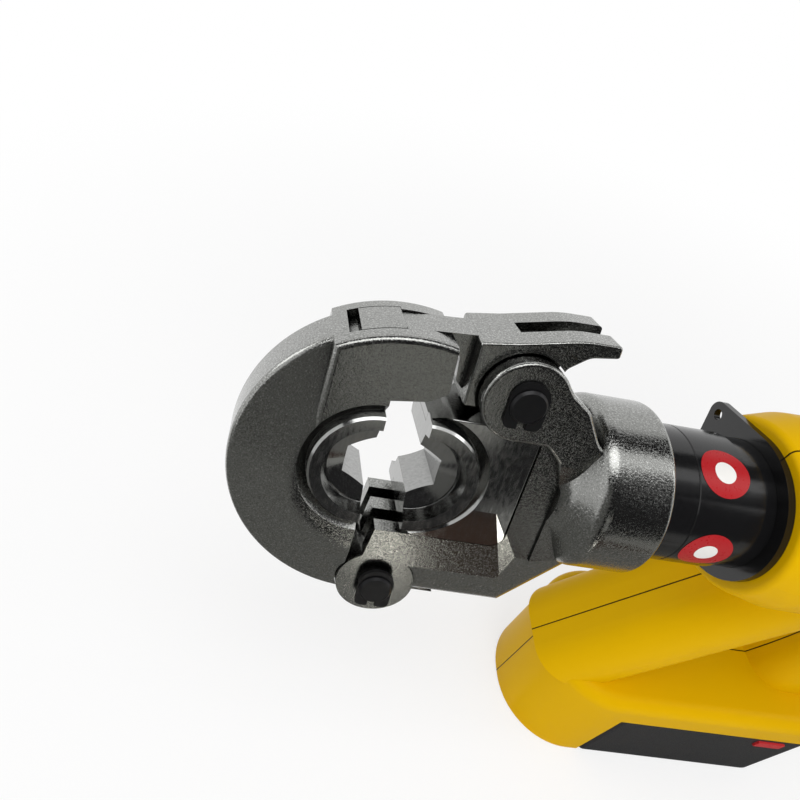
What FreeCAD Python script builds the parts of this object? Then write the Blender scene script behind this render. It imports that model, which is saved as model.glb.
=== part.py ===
import FreeCAD, Part
import math
import os
from types import SimpleNamespace

from FreeCAD import Placement, Rotation, Vector

# Battery hydraulic crimping tool with a flip-top head.
# Every piece of the head is drawn in the head frame: x runs forward along the tool axis from the
# centre of the fixed die's seat, y points to the hinge side, z stands out of the head's flat face.
# Every piece of the body is drawn in the body frame: x as above, y to the left side, z up.
# The part's own origin is the middle of the base, which stands on a surface.

os.makedirs("parts", exist_ok=True)
doc = FreeCAD.newDocument("crimping_tool")

SIZES = {
    # where the tool axis lies above the base, and how far the head is turned about it
    "axis_height": 190.0,
    "axis_forward": 195.0,
    "head_turn": 20.0,
    # clearances
    "pin_play": 0.05,
    "slide_play": 0.25,
    "side_play": 0.2,
    # pins
    "pin_radius": 6.0,
    "pin_chamfer": 0.8,
    "hinge_x": 12.9,
    "hinge_y": 50.0,
    "latch_x": 42.1,
    "latch_y": 35.4,
    "clip_half": 6.4,
    "clip_thickness": 1.2,
    "clip_foot": 8.5,
    "clip_slot": 3.0,
    "groove_depth": 1.0,
    "pin_nose": 1.4,
    # flat head
    "head_half": 16.4,
    "ram_stroke": 15.2,
    "ram_half_width": 24.5,
    "ram_half_height": 16.2,
    "ram_length": 37.8,
    "ram_corner": 5.0,
    "bevel_angle": 3.0,
    "bevel_start": 6.0,
    "run_out_angle": 12.5,
    # jaw
    "jaw_radius": 54.7,
    "jaw_centre_x": 5.5,
    "jaw_centre_y": 4.5,
    "jaw_rim_half": 9.8,
    "jaw_flat_radius": 31.0,
    "jaw_step_x": 20.5,
    "throat_y": 27.5,
    "nose_length": 17.3,
    "boss_radius": 14.5,
    "finger_inner": 3.5,
    "finger_outer": 9.3,
    # die seats and dies
    "seat_radius": 18.6,
    "seat_ridge_half": 9.0,
    "seat_counterbore": 21.9,
    "seat_relief_radius": 25.5,
    "seat_relief_depth": 3.2,
    "die_play": 0.15,
    "die_half": 18.0,
    "die_mouth_radius": 17.0,
    "die_cone_radius": 15.5,
    "die_cone_depth": 5.0,
    "hex_flats": 17.6,
    # latch
    "latch_half": 13.0,
    "latch_hub_half": 8.0,
    "latch_hub_radius": 10.3,
    "latch_recess": 15.2,
    "prong_gap": 8.0,
    "prong_thickness": 4.6,
    "hook_half": 9.0,
    "neck_half": 7.0,
    "hook_depth": 2.8,
    "hook_front": 13.1,
    "hook_back": 0.8,
    "hook_gap": 3.7,
    # yoke
    "ear_half": 19.0,
    "barrel_radius": 31.5,
    "yoke_end": 97.2,
    "pad_end": 64.5,
    "shoulder_x": 74.2,
    "cast_half": 17.4,
    "land_y": 33.6,
    "arm_outer_y": 57.0,
    "flank_half": 9.7,
    "flank_round": 9.0,
    "barrel_edge": 1.8,
    # cylinder, piston, ring, hanger
    "sleeve_radius": 25.0,
    "seam_x": 109.6,
    "sleeve_step_x": 128.0,
    "sleeve_neck_radius": 24.0,
    "nose_radius": 22.0,
    "nose_start": 80.3,
    "bore_radius": 16.5,
    "bore_end": 136.0,
    "rod_radius": 11.0,
    "piston_length": 18.0,
    "piston_front": 107.0,
    "cylinder_end": 168.0,
    "hanger_x": 138.6,
    "hanger_radius": 28.8,
    "hanger_thickness": 2.6,
    "lug_angle": 24.0,
    "lug_reach": 34.0,
    "lug_radius": 5.2,
    "lug_hole": 2.2,
    # housing
    "housing_front": 141.6,
    "housing_rear": 290.0,
    "housing_radius": 38.0,
    "wall": 3.2,
    "base_top": 122.0,
    "base_front": 122.0,
    "base_rear": 268.0,
    "cell_room": 1.3,
    "base_corner": 10.0,
    "base_edge": 7.0,
    "bay_front": 162.0,
    "bay_top": 140.0,
    "column_depth": 19.0,
    "column_half_width": 25.5,
    "grip_x": 262.0,
    "grip_depth": 20.5,
    "grip_half_width": 17.5,
    "rib": 2.4,
    "screw_radius": 1.5,
    "screw_head_radius": 3.2,
    "screw_length": 8.0,
    # trigger and pressure release
    "trigger_half": 8.0,
    "trigger_top": 42.0,
    "trigger_low": 78.0,
    "trigger_front": 228.0,
    "switch_x": 262.0,
    "switch_half": 7.0,
    "button_x": 186.0,
    "button_radius": 7.0,
    "button_rise": 3.5,
    "button_travel": 3.0,
    "valve_depth": 14.0,
    # pump, gearbox, motor and board
    "bladder_room": 7.0,
    "pump_front": 168.0,
    "pump_radius": 30.0,
    "gear_front": 200.0,
    "gear_radius": 26.0,
    "motor_front": 228.0,
    "motor_radius": 22.5,
    "motor_length": 50.0,
    "board_x": 152.0,
    "board_half": 26.0,
    "terminal_half": 16.0,
    "terminal_z": 156.0,
    # battery and its rail
    "rail_inset": 17.0,
    "rail_lip": 5.0,
    "rail_drop": 4.5,
    "rail_flange": 3.0,
    "rail_length": 96.0,
    "bay_gap": 1.0,
    "battery_wall": 2.2,
    "cell_diameter": 18.4,
    "cell_length": 65.0,
    "catch_x": 244.0,
    "catch_half": 7.0,
    "catch_depth": 9.0,
    "catch_travel": 2.5,
}

# the sheet holds every driving size
sheet = doc.addObject("Spreadsheet::Sheet", "sizes")
for row, (alias, value) in enumerate(SIZES.items(), start=1):
    sheet.set("A%d" % row, alias)
    sheet.set("B%d" % row, str(value))
    sheet.setAlias("B%d" % row, alias)
doc.recompute()
s = SimpleNamespace(**{alias: float(sheet.get(alias)) for alias in SIZES})


X = Vector(1, 0, 0)
Y = Vector(0, 1, 0)
Z = Vector(0, 0, 1)
DEEP = 200.0
pieces = []


def write_size(item, name, value):
    """A size is a number or an expression of the sheet's cells."""
    if isinstance(value, str):
        item.setExpression(name, value)
    else:
        setattr(item, name, value)


def primitive(kind, name, at=(0, 0, 0), turn=None, **sizes):
    item = doc.addObject("Part::" + kind, name)
    if turn:
        item.Placement = Placement(Vector(), Rotation(*turn))
    for key, value in sizes.items():
        write_size(item, key, value)
    base = [0, 0, 0]
    for index, value in enumerate(at):
        if isinstance(value, str):
            item.setExpression("Placement.Base." + "xyz"[index], value)
        else:
            base[index] = value
    item.Placement.Base = Vector(*base)
    return item


def rod_x(name, start, length, radius, y=0, z=0):
    """A round bar along the tool axis, forward from its start."""
    return primitive("Cylinder", name, (start, y, z), (Y, 90), Radius=radius, Height=length)


def rod_z(name, x, y, low, length, radius):
    return primitive("Cylinder", name, (x, y, low), None, Radius=radius, Height=length)


def rod_y(name, x, low, z, length, radius):
    """A round bar across the tool, towards +y from its low end."""
    return primitive("Cylinder", name, (x, low, z), (X, -90), Radius=radius, Height=length)


def box(name, corner, length, width, height):
    return primitive("Box", name, corner, None, Length=length, Width=width, Height=height)


def fuse(name, items):
    item = doc.addObject("Part::MultiFuse", name)
    item.Shapes = items
    item.Refine = True
    return item


def cut(name, base, tools):
    item = doc.addObject("Part::Cut", name)
    item.Base = base
    item.Tool = tools[0] if len(tools) == 1 else fuse(name + "_tools", tools)
    return item


def group(name, items):
    item = doc.addObject("Part::Compound", name)
    item.Links = items
    return item


def shaped(name, shape):
    item = doc.addObject("Part::Feature", name)
    item.Shape = shape
    return item


def piece(label, shape, frame):
    """A sub-part whose shape is made with the modelling functions above."""
    return finish(shaped(label, Part.makeCompound([shape])), label, frame)


def finish(item, label, frame):
    """Name a sub-part and put it in the head frame or the body frame."""
    item.Label = label
    if frame == "head":
        item.Placement = Placement(Vector(), Rotation(X, s.head_turn - 90))
        item.setExpression("Placement.Rotation.Angle", "(90 - sizes.head_turn) * 1 deg")
        item.Placement.Rotation.Axis = Vector(-1, 0, 0)
    item.setExpression("Placement.Base.x", "sizes.axis_forward")
    item.setExpression("Placement.Base.z", "sizes.axis_height")
    pieces.append(item)
    return item


def corner_path(points):
    """Edges through the points, each (a, b) or (a, b, corner radius), as plane coordinates."""
    spots = [Vector(p[0], p[1], 0) for p in points]
    radii = [p[2] if len(p) > 2 else 0 for p in points]
    joints = []
    for i, spot in enumerate(spots):
        back = (spots[i - 1] - spot).normalize()
        ahead = (spots[(i + 1) % len(spots)] - spot).normalize()
        half = back.getAngle(ahead) / 2
        if radii[i] == 0:
            joints.append((spot, None, spot))
            continue
        reach = radii[i] / math.tan(half)
        middle = spot + (back + ahead).normalize() * (radii[i] / math.sin(half) - radii[i])
        joints.append((spot + back * reach, middle, spot + ahead * reach))
    edges = []
    for i, (first, middle, last) in enumerate(joints):
        before = joints[i - 1][2]
        if before.distanceToPoint(first) > 1e-6:
            edges.append(Part.makeLine(before, first))
        if middle:
            edges.append(Part.Arc(first, middle, last).toShape())
    return edges


def plate(points, low, high):
    """An outline in x and y, thick from low to high along z."""
    face = Part.Face(Part.Wire(corner_path(points)))
    face.translate(Vector(0, 0, low))
    return face.extrude(Vector(0, 0, high - low))


def side_plate(points, low, high):
    """An outline in x and z, thick from low to high along y."""
    solid = plate(points, -high, -low)
    solid.rotate(Vector(), X, 90)
    return solid


def cross_plate(points, low, high):
    """An outline in y and z, thick from low to high along x."""
    solid = plate(points, low, high)
    solid.rotate(Vector(), Vector(1, 1, 1), 120)
    return solid


def disc(x, y, radius, low, high):
    return Part.makeCylinder(radius, high - low, Vector(x, y, low))


def bar(radius, start, end, y=0, z=0):
    return Part.makeCylinder(radius, end - start, Vector(start, y, z), X)


def block(low, high):
    size = [b - a for a, b in zip(low, high)]
    return Part.makeBox(*size, Vector(*low))


def spun_z(points, x, y):
    """A profile of (radius, z) turned about an upright line at x, y."""
    wire = Part.Wire(corner_path(points))
    wire.rotate(Vector(), X, 90)
    solid = Part.Face(wire).revolve(Vector(), Z, 360)
    solid.translate(Vector(x, y, 0))
    return solid


def rim_softened(solid, radius, levels):
    """Round the outline edges that lie at the given z levels."""
    edges = []
    for edge in solid.Edges:
        box_of = edge.BoundBox
        if any(abs(box_of.ZMin - level) < 1e-4 and abs(box_of.ZMax - level) < 1e-4 for level in levels):
            edges.append(edge)
    return solid.makeFillet(radius, edges)


def turned(name, points):
    """A PartDesign body: a profile of (x, radius) turned about the tool axis."""
    body = doc.addObject("PartDesign::Body", name)
    sketch = body.newObject("Sketcher::SketchObject", name + "_profile")
    origin = body.Origin.OriginFeatures
    sketch.AttachmentSupport = [next(f for f in origin if f.Role == "XZ_Plane")]
    sketch.MapMode = "FlatFace"
    corners = [Vector(x, r, 0) for x, r in points]
    for i, corner in enumerate(corners):
        sketch.addGeometry(Part.LineSegment(corners[i - 1], corner), False)
    doc.recompute()
    feature = body.newObject("PartDesign::Revolution", name + "_turn")
    feature.Profile = sketch
    feature.ReferenceAxis = (sketch, ["H_Axis"])
    feature.Angle = 360
    return body


# The head

def pin_profile(name, x, y, face_z):
    """A pin through both ears: round bar, chamfered ends and a clip groove at each end."""
    reach = "%s + sizes.clip_thickness + sizes.pin_nose" % face_z
    shank = rod_z(name + "_shank", x, y, "-(%s)" % reach, "2 * (%s)" % reach, "sizes.pin_radius")
    shank_ends = doc.addObject("Part::Chamfer", name + "_ends")
    doc.recompute()
    shank_ends.Base = shank
    rims = [i + 1 for i, edge in enumerate(shank.Shape.Edges) if edge.Curve.TypeId == "Part::GeomCircle"]
    shank_ends.Edges = [(i, s.pin_chamfer, s.pin_chamfer) for i in rims]
    grooves = []
    for side, low in (("top", face_z), ("foot", "-(%s) - sizes.clip_thickness - 0.2" % face_z)):
        outer = rod_z("%s_%s_outer" % (name, side), x, y, low, "sizes.clip_thickness + 0.2", "sizes.pin_radius + 1")
        inner = rod_z("%s_%s_inner" % (name, side), x, y, low, "sizes.clip_thickness + 0.2",
                      "sizes.pin_radius - sizes.groove_depth")
        grooves.append(cut("%s_%s_groove" % (name, side), outer, [inner]))
    return cut(name, shank_ends, grooves)


def clip_shape(x, y, face_z, above):
    """A snap clip: a horseshoe with two feet, open at one side to slip over the pin's groove."""
    low = face_z + 0.1 if above else -face_z - 0.1 - s.clip_thickness
    high = low + s.clip_thickness
    half = s.clip_half
    top = half + 1.9
    shoe = plate([(x - half, y - top, half - 0.3), (x + half, y - top, half - 0.3),
                  (x + half, y + s.clip_foot, 2.4), (x - half, y + s.clip_foot, 2.4)], low, high)
    groove = disc(x, y, s.pin_radius - s.groove_depth + 0.05, low, high)
    slot = block((x - s.clip_slot / 2, y, low), (x + s.clip_slot / 2, y + DEEP, high))
    return shoe.cut([groove, slot])


def make_pins_and_clips():
    finish(pin_profile("hinge_pin", "-sizes.hinge_x", "sizes.hinge_y", "sizes.head_half"), "hinge_pin", "head")
    finish(pin_profile("latch_pin", "-sizes.latch_x", "-sizes.latch_y", "sizes.ear_half"), "latch_pin", "head")
    clips = []
    for above in (True, False):
        clips.append(clip_shape(-s.hinge_x, s.hinge_y, s.head_half, above))
        clips.append(clip_shape(-s.latch_x, -s.latch_y, s.ear_half, above))
    piece("retaining_clips", Part.makeCompound(clips), "head")


def seat_cut(centre_x):
    """The recess that one pair of dies sits in: a ridge, a counterbore and a sloped relief per face."""
    relief_end = s.head_half - s.seat_relief_depth
    inner = s.seat_counterbore + 0.3
    profile = [
        (0, -DEEP), (s.seat_relief_radius + 1, -DEEP), (s.seat_relief_radius, -s.head_half),
        (inner, -relief_end), (s.seat_counterbore, -relief_end),
        (s.seat_counterbore, -s.seat_ridge_half), (s.seat_radius, -s.seat_ridge_half),
        (s.seat_radius, s.seat_ridge_half), (s.seat_counterbore, s.seat_ridge_half),
        (s.seat_counterbore, relief_end), (inner, relief_end),
        (s.seat_relief_radius, s.head_half), (s.seat_relief_radius + 1, DEEP), (0, DEEP),
    ]
    return spun_z(profile, centre_x, 0)


def die_shape(centre_x, forward):
    """Half of a hexagon die: flanged half ring with a bell mouth on both faces."""
    play = s.die_play
    flange = s.seat_counterbore - play
    body_radius = s.seat_radius - play
    ridge = s.seat_ridge_half + play
    mouth_low = s.die_half - s.die_cone_depth
    profile = [
        (0, -mouth_low), (s.die_cone_radius, -mouth_low), (s.die_mouth_radius, -s.die_half),
        (flange - 0.8, -s.die_half), (flange, -s.die_half + 0.8), (flange, -ridge),
        (body_radius, -ridge), (body_radius, ridge), (flange, ridge), (flange, s.die_half - 0.8),
        (flange - 0.8, s.die_half), (s.die_mouth_radius, s.die_half), (s.die_cone_radius, mouth_low),
        (0, mouth_low),
    ]
    solid = spun_z(profile, centre_x, 0)
    depth = s.hex_flats / 2
    half_side = depth / math.sqrt(3)
    corner = 2 * half_side
    hexagon = [(-depth, -half_side), (0, -corner), (depth, -half_side), (depth, half_side), (0, corner),
               (-depth, half_side)]
    opening = plate(hexagon, -DEEP, DEEP)
    opening.translate(Vector(centre_x, 0, 0))
    lead = 2.4
    cones = [
        Part.makeCone(s.hex_flats / 2, s.die_cone_radius - 0.6, lead, Vector(centre_x, 0, mouth_low - lead)),
        Part.makeCone(s.die_cone_radius - 0.6, s.hex_flats / 2, lead, Vector(centre_x, 0, -mouth_low)),
    ]
    other_side = block((centre_x - DEEP, -DEEP, -DEEP), (centre_x, DEEP, DEEP))
    if not forward:
        other_side = block((centre_x, -DEEP, -DEEP), (centre_x + DEEP, DEEP, DEEP))
    return solid.cut([opening, other_side] + cones)


def make_dies():
    piece("fixed_die", die_shape(0, True), "head")
    piece("moving_die", die_shape(-s.ram_stroke, False), "head")


def jaw_ring():
    """The bow of the jaw: a thick disc whose faces slope down to the rim."""
    profile = [
        (0, -s.head_half), (s.jaw_flat_radius, -s.head_half, 20), (s.jaw_radius, -s.jaw_rim_half, 2.5),
        (s.jaw_radius, s.jaw_rim_half, 2.5), (s.jaw_flat_radius, s.head_half, 20), (0, s.head_half),
    ]
    return spun_z(profile, -s.jaw_centre_x, s.jaw_centre_y)


def jaw_nose():
    """The flat plate of the jaw beside the latch, full thickness out to the rim."""
    round_plate = disc(-s.jaw_centre_x, s.jaw_centre_y, s.jaw_radius, -s.head_half, s.head_half)
    reach = s.jaw_radius + 10
    band = plate([(-reach, -reach), (s.jaw_step_x, -reach), (s.jaw_step_x + 2, -12), (-reach, -12)],
                 -s.head_half, s.head_half)
    return rim_softened(round_plate.common(band), 2.2, (-s.head_half, s.head_half))


def jaw_pocket():
    """The T-shaped recess in the jaw's back that the latch hook drops into."""
    floor = s.jaw_radius - s.hook_depth - 0.5
    neck_floor = floor - 4.0
    wide_start = -s.hook_back - s.side_play
    wide_end = s.hook_front + s.hook_gap
    wide_half = s.hook_half + 0.5
    neck_half = s.neck_half + 0.3
    wide = block((wide_start, -DEEP, -wide_half), (wide_end, -10, wide_half))
    wide = wide.cut(disc(-s.jaw_centre_x, s.jaw_centre_y, floor, -DEEP, DEEP))
    neck = block((-s.nose_length - 10, -DEEP, -neck_half), (wide_start + 1, -10, neck_half))
    neck = neck.cut(disc(-s.jaw_centre_x, s.jaw_centre_y, neck_floor, -DEEP, DEEP))
    return [wide, neck]


def make_jaw():
    solid = jaw_ring().fuse(jaw_nose())
    hinge = (-s.hinge_x, s.hinge_y)
    throat = block((-DEEP, -s.throat_y, -DEEP), (0, DEEP, DEEP))
    nose_end = plate([(-DEEP, -DEEP), (-s.nose_length + 0.5, -DEEP), (-s.nose_length + 0.5, -s.jaw_radius + 8, 3),
                      (-s.nose_length - 0.5, -33, 2.5), (-12, -s.throat_y - 1.8, 6), (0, -s.throat_y),
                      (0, -s.throat_y + 2), (-DEEP, -s.throat_y + 2)], -DEEP, DEEP)
    boss_gap = disc(*hinge, s.boss_radius + 0.4, -DEEP, DEEP)
    solid = solid.cut([throat, nose_end, boss_gap, seat_cut(0)] + jaw_pocket())
    fingers = []
    for low, high in ((s.finger_inner, s.finger_outer), (-s.finger_outer, -s.finger_inner)):
        knuckle = disc(*hinge, s.boss_radius - 0.3, low, high)
        web = plate([hinge, (0.2, 30), (4, 32), (6, 52), (-2, 57)], low, high)
        fingers.append(knuckle.fuse(web))
    solid = solid.fuse(fingers)
    solid = solid.cut(disc(*hinge, s.pin_radius + s.pin_play, -DEEP, DEEP)).removeSplitter()
    piece("swing_jaw", solid, "head")


def flank_section(reach):
    """The arm's section across a direction: a flat land, then a slope to a rounded flank."""
    out = reach + s.arm_outer_y - s.land_y
    return [(-DEEP, -s.head_half), (reach, -s.head_half), (out, -s.flank_half, s.flank_round),
            (out, s.flank_half, s.flank_round), (reach, s.head_half), (-DEEP, s.head_half)]


def yoke_arm():
    """The lower arm with its flat land, sloping flank and hinge boss, and the pad behind the ram."""
    side = s.arm_outer_y
    outline = [
        (-88, -16), (-88, 24), (-83.5, 36, 8), (-72, 49, 12), (-61, side, 12), (-s.hinge_x - 8, side),
        (-s.hinge_x, s.hinge_y), (-5.6, 37.8), (-7.5, 22), (-ram_rear() - 6, 22), (-ram_rear() - 6, -22),
        (-66, -24), (-79, -16),
    ]
    arm = plate(outline, -s.head_half, s.head_half)
    long_form = cross_plate(flank_section(s.land_y), -DEEP, DEEP)
    corner_form = cross_plate(flank_section(62.4), -DEEP, DEEP)
    corner_form.rotate(Vector(), Z, 48)
    arm = arm.common(long_form).common(corner_form)
    boss = disc(-s.hinge_x, s.hinge_y, s.boss_radius, -s.head_half, s.head_half)
    boss = rim_softened(boss, 3.0, (-s.head_half, s.head_half))
    throat = plate([(-s.hinge_x - 7, side - 7), (-s.hinge_x - 25, side), (-s.hinge_x - 14.5, side, 6),
                    (-s.hinge_x - 10.6, side + 3.2)], -s.flank_half + 2, s.flank_half - 2)
    return arm.fuse([boss, throat]).removeSplitter()


def falling_box(x, y, level, heading, angle):
    """A block whose floor starts at x, y on a level and falls away along a heading."""
    tool = Part.makeBox(DEEP, 2 * DEEP, DEEP, Vector(0, -DEEP, 0))
    tool.rotate(Vector(), Y, angle)
    tool.rotate(Vector(), Z, heading)
    tool.translate(Vector(x, y, level))
    return tool


def both_faces(tool):
    return [tool, tool.mirror(Vector(), Z)]


def side_bevels():
    """The shallow bevel along the hinge side of both faces, which runs out behind the ram block."""
    bevel = falling_box(0, s.bevel_start, s.head_half, 90, s.bevel_angle)
    run_out = falling_box(-ram_rear() + 4.5, 10.4, s.head_half, 33, s.run_out_angle)
    return both_faces(bevel.common(run_out))


def ram_rear():
    return s.ram_stroke + s.ram_length


def yoke_ears():
    """The raised ears that hold the latch pin, running back into the barrel."""
    ear = disc(-s.latch_x, -s.latch_y, s.boss_radius, -s.ear_half, s.ear_half)
    web = plate([(-s.latch_x - 9.5, -s.latch_y - 10.9), (-56.5, -40.8, 5), (-63.5, -36, 7), (-70.5, -25, 9),
                 (-80, -17.3, 4), (-84, -4.5, 4), (-s.pad_end, -4.5, 1), (-59.7, -15.7, 4),
                 (-s.latch_x - 12, -s.latch_y + 14.3, 3), (-s.latch_x, -s.latch_y + 14.3)],
                -s.ear_half, s.ear_half)
    solid = rim_softened(ear.fuse(web).removeSplitter(), 1.3, (-s.ear_half, s.ear_half))
    slope = falling_box(0, -15, s.ear_half, 90, 8)
    floor = plate([(-50, -21), (-50, 27.5), (-s.pad_end, 27.5), (-78, 24, 4), (-84, 8), (-84, -14), (-64, -21)],
                  -s.cast_half, s.cast_half)
    swing_half = s.latch_half + s.side_play
    lever_room = plate([(-51.6, -46.3), (-79, -16.5), (-DEEP, -16.5), (-DEEP, -DEEP), (-51.6, -DEEP)],
                       -swing_half, swing_half)
    return solid.cut(both_faces(slope) + [lever_room]).fuse(floor)


def machined_pad():
    """The flat milled behind the ram block on both faces, down to the level of the arm's land."""
    end = s.pad_end
    outline = [(-end, 26.8), (-end, -4.5), (-end + 4.8, -15.7), (-end + 9.5, -20.5), (0, -20.5), (0, 80),
               (-end + 4, 80)]
    return both_faces(plate(outline, s.head_half, DEEP))


def yoke_barrel():
    """The round neck, whose front shoulder falls in a hollow curve to the flat head."""
    radius = s.barrel_radius
    profile = [(-s.yoke_end, 0), (-s.yoke_end, radius, s.barrel_edge), (-s.shoulder_x, radius, 6),
               (-s.shoulder_x + 7.5, s.cast_half + 2.4, 9), (-52, s.head_half), (-52, 0)]
    return spun_x(profile)


def make_yoke():
    cast = yoke_arm().fuse([yoke_ears(), yoke_barrel()]).removeSplitter()
    solid = cast.cut(machined_pad() + side_bevels())
    channel_half = s.ram_half_width + s.slide_play
    rear = ram_rear() + s.slide_play
    corner = s.ram_corner + s.slide_play
    channel = plate([(-rear, -channel_half, corner), (DEEP, -channel_half), (DEEP, channel_half),
                     (-rear, channel_half, corner)], -s.head_half - 0.15, s.head_half + 0.15)
    ear_inner = s.latch_hub_half + s.side_play
    latch_slot = plate([(-s.latch_x - 17, -channel_half + 1, 6), (-s.latch_x - 17, -DEEP), (0, -DEEP),
                        (0, -channel_half + 1)], -ear_inner, ear_inner)
    finger_slots = []
    for low, high in ((s.finger_inner - s.side_play, s.finger_outer + s.side_play),
                      (-s.finger_outer - s.side_play, -s.finger_inner + s.side_play)):
        finger_slots.append(disc(-s.hinge_x, s.hinge_y, s.boss_radius + 0.5, low, high))
        finger_slots.append(block((-s.hinge_x - 7, 15, low), (DEEP, s.hinge_y, high)))
    swing_half = s.latch_half + s.side_play
    swing_room = block((-s.latch_x - 21, -DEEP, -swing_half), (-s.latch_x - 12, -s.latch_y, swing_half))
    swing_room = swing_room.cut(disc(-s.latch_x, -s.latch_y, s.boss_radius + 0.4, -DEEP, DEEP))
    holes = [
        disc(-s.hinge_x, s.hinge_y, s.pin_radius + s.pin_play, -DEEP, DEEP),
        disc(-s.latch_x, -s.latch_y, s.pin_radius + s.pin_play, -DEEP, DEEP),
        bar(s.rod_radius + 0.1, -s.yoke_end, 0),
        bar(s.nose_radius + s.pin_play, -s.yoke_end - 1, -s.nose_start + 0.3),
    ]
    solid = solid.cut([channel, latch_slot, swing_room] + finger_slots + holes).removeSplitter()
    piece("yoke", solid, "head")


def latch_profile():
    """The latch seen on its side: hook, neck, body and thumb lever in one outline."""
    top = rim_level()
    nose = -s.latch_y + 7.2
    return [
        (-24, -top - 0.8, 1), (-36, -top - 2.7, 20), (-56, -top - 7.2, 40), (-68.3, -top - 7.4, 1.2),
        (-68.6, -top - 3.2, 1), (-59.5, -top - 1.8, 6), (-53.2, -top + 3.5, 4),
        (-s.latch_x - s.latch_hub_radius, -s.latch_y, 3), (-s.latch_x, -s.latch_y), (-30.5, nose, 1),
        (-24.4, nose, 1),
    ]


def rim_level():
    """How far the jaw's rim lies from the tool axis on the latch side."""
    return s.jaw_radius - s.jaw_centre_y


def latch_hook():
    """The T-shaped hook whose back is flush with the jaw's rim, and its neck."""
    rim = disc(-s.jaw_centre_x, s.jaw_centre_y, s.jaw_radius, -DEEP, DEEP)
    under = disc(-s.jaw_centre_x, s.jaw_centre_y, s.jaw_radius - s.hook_depth, -DEEP, DEEP)
    head = block((-s.hook_back, -DEEP, -s.hook_half), (s.hook_front, -10, s.hook_half))
    head = head.common(rim).cut(under)
    top = rim_level()
    neck = plate([
        (-s.hook_back + 3, -top + 2.6), (-s.hook_back + 3, -top + 1.2), (-12, -top + 0.1, 20), (-26, -top - 0.9),
        (-26, -30), (-21.5, -34, 3), (-20.3, -top + 5.7, 4),
    ], -s.neck_half, s.neck_half)
    return head.fuse(neck)


def make_latch():
    solid = plate(latch_profile(), -s.latch_half, s.latch_half)
    solid = rim_softened(solid, 0.8, (-s.latch_half, s.latch_half))
    ear_clear = []
    for low, high in ((s.latch_hub_half, DEEP), (-DEEP, -s.latch_hub_half)):
        ear_clear.append(disc(-s.latch_x, -s.latch_y, s.latch_recess, low, high))
    solid = solid.cut(ear_clear)
    hub = disc(-s.latch_x, -s.latch_y, s.latch_hub_radius, -s.latch_hub_half, s.latch_hub_half)
    solid = solid.fuse([hub, latch_hook()])
    top = rim_level()
    prong_slot = plate([(-38.5, -DEEP), (-38.5, -top + 3.9, 1), (-52, -top + 1.9, 3), (-59, -top - 3.1, 3),
                        (-68.6, -top - 4.5), (-DEEP, -top - 10), (-DEEP, -DEEP)],
                       -s.prong_gap / 2, s.prong_gap / 2)
    spring_room = disc(-s.latch_x, -s.latch_y, s.latch_hub_radius + 1, -3.4, 3.4)
    hole = disc(-s.latch_x, -s.latch_y, s.pin_radius + s.pin_play, -DEEP, DEEP)
    solid = solid.cut([prong_slot, spring_room, hole]).removeSplitter()
    piece("latch", solid, "head")


def make_ram():
    """The sliding block that carries the moving die, with its corner rounds and front bevels."""
    front = -s.ram_stroke
    rear = -ram_rear()
    half = s.ram_half_width
    outline = [(front, -half + 3), (front, half - 3), (front - 4.6, half), (rear, half, s.ram_corner),
               (rear, -half, s.ram_corner), (front - 4.6, -half)]
    solid = plate(outline, -s.ram_half_height, s.ram_half_height)
    solid = rim_softened(solid, 0.6, (-s.ram_half_height, s.ram_half_height))
    socket = bar(s.rod_radius - 2 + 0.05, rear, rear + 8.2)
    piece("ram_block", solid.cut([seat_cut(front), socket] + side_bevels()), "head")


def make_piston():
    rear = -ram_rear()
    profile = [
        (rear + 8, 0), (rear + 8, s.rod_radius - 2.6), (rear + 7.4, s.rod_radius - 2), (rear, s.rod_radius - 2),
        (rear, s.rod_radius), (-s.piston_front, s.rod_radius), (-s.piston_front, s.bore_radius - 0.05),
        (-s.piston_front - 6, s.bore_radius - 0.05), (-s.piston_front - 6, s.bore_radius - 2.2),
        (-s.piston_front - 10, s.bore_radius - 2.2), (-s.piston_front - 10, s.bore_radius - 0.05),
        (-s.piston_front - s.piston_length, s.bore_radius - 0.05), (-s.piston_front - s.piston_length, 0),
    ]
    finish(turned("piston", profile), "piston", "head")
    start = "-sizes.piston_front - 9.9"
    outer = rod_x("seal_outer", start, 3.8, "sizes.bore_radius - 0.02")
    inner = rod_x("seal_inner", start, 3.8, "sizes.bore_radius - 2.18")
    finish(cut("piston_seal", outer, [inner]), "piston_seal", "head")


def coil_shape(length, coil, wire, turns):
    """A helical coil of facetted wire, standing along z, made from one ring of the wire to the next."""
    steps = 10
    sides = 6
    count = round(turns * steps)
    rings = []
    for i in range(count + 1):
        angle = 2 * math.pi * i / steps
        level = wire + (length - 2 * wire) * i / count
        ring = []
        for k in range(sides + 1):
            tilt = 2 * math.pi * k / sides
            reach = coil + wire * math.cos(tilt)
            ring.append(Vector(reach * math.cos(angle), reach * math.sin(angle), level + wire * math.sin(tilt)))
        rings.append(Part.makePolygon(ring))
    return Part.makeLoft(rings, True, True)


def spring(name, frame, start, length, coil, wire, turns, turn=None):
    """A coil that runs from its start along z, or as turned."""
    whole = coil_shape(length, coil, wire, turns)
    if turn:
        whole.rotate(Vector(), *turn)
    whole.translate(Vector(*start))
    return piece(name, whole, frame)


def make_head_springs():
    front = -s.nose_start + 0.3
    length = s.piston_front + front
    spring("return_spring", "head", (-s.piston_front, 0, 0), length, 13.2, 1.2, 4, (Y, 90))
    coil = s.pin_radius + 0.4 + 1.2
    spring("latch_spring", "head", (-s.latch_x, -s.latch_y, -3.2), 6.4, coil, 1.2, 1.6)


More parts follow.
